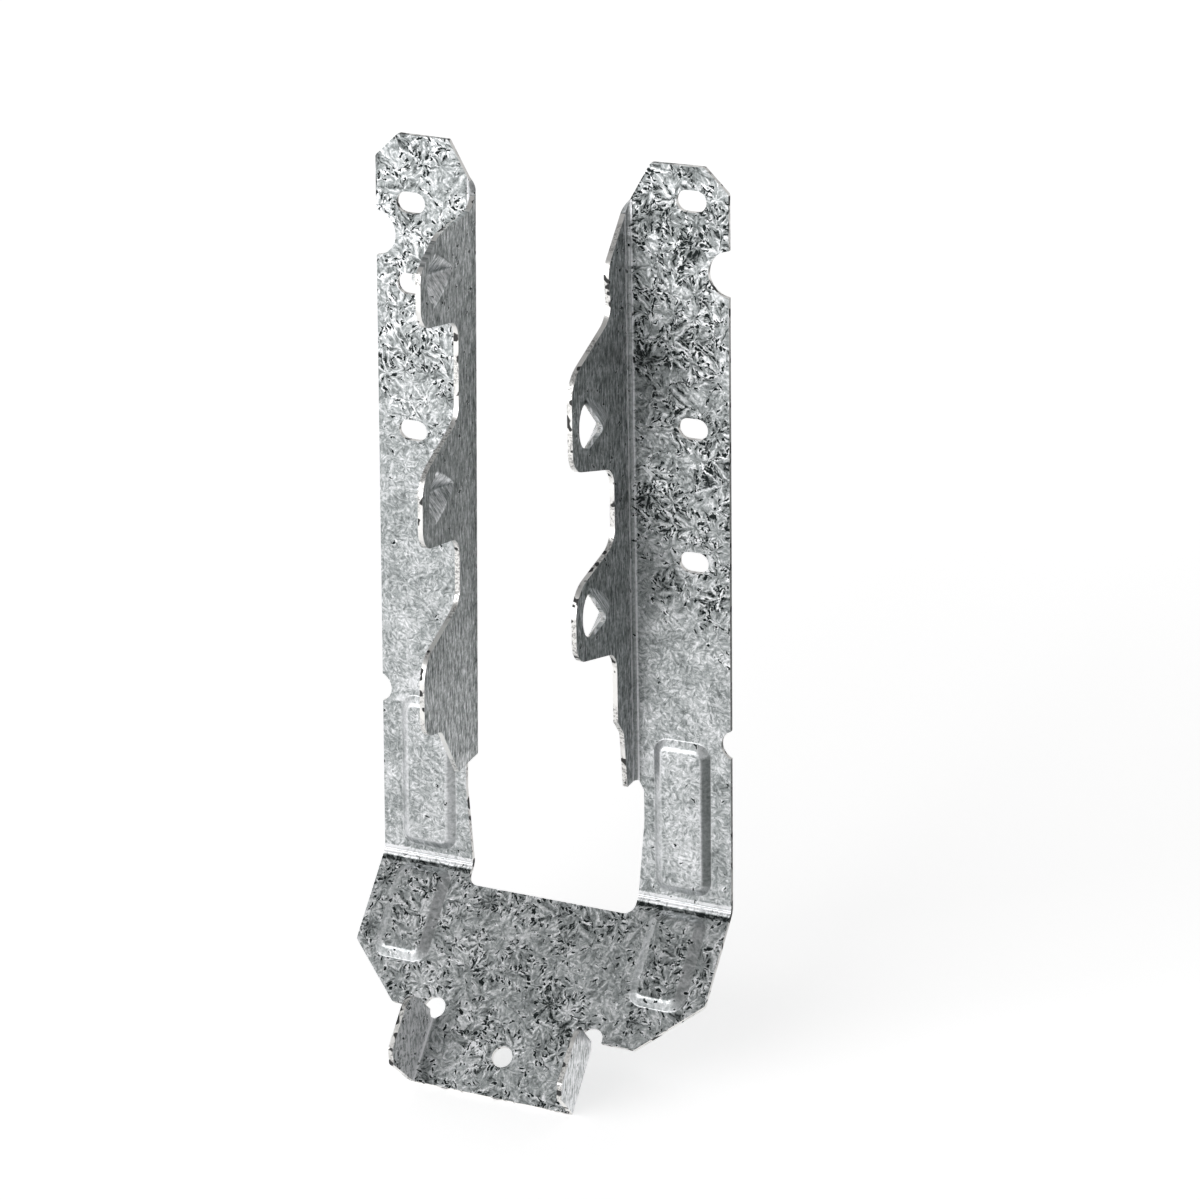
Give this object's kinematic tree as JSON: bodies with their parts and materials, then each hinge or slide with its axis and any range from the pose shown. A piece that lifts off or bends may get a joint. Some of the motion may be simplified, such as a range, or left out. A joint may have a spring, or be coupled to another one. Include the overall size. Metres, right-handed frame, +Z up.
{
  "type": "joist hanger",
  "caption": "Sloped joist hanger folded from one galvanised sheet: two nailing legs, scalloped side flanges with lanced nail guides, ribbed seat and a lipped tongue.",
  "frame": {"origin": "middle of the joist pocket on the back plane of the two legs, where that plane meets the underside of the sloping seat", "axes": "+X across the pocket, +Y back into the header, +Z up the legs; the joist runs out along -Y"},
  "size_m": [0.0896, 0.0483, 0.2182],
  "materials": {
    "galvanised_steel": "spangled zinc coating"
  },
  "bodies": {
    "root": {"joist_hanger": "galvanised_steel"}
  },
  "joints": []
}
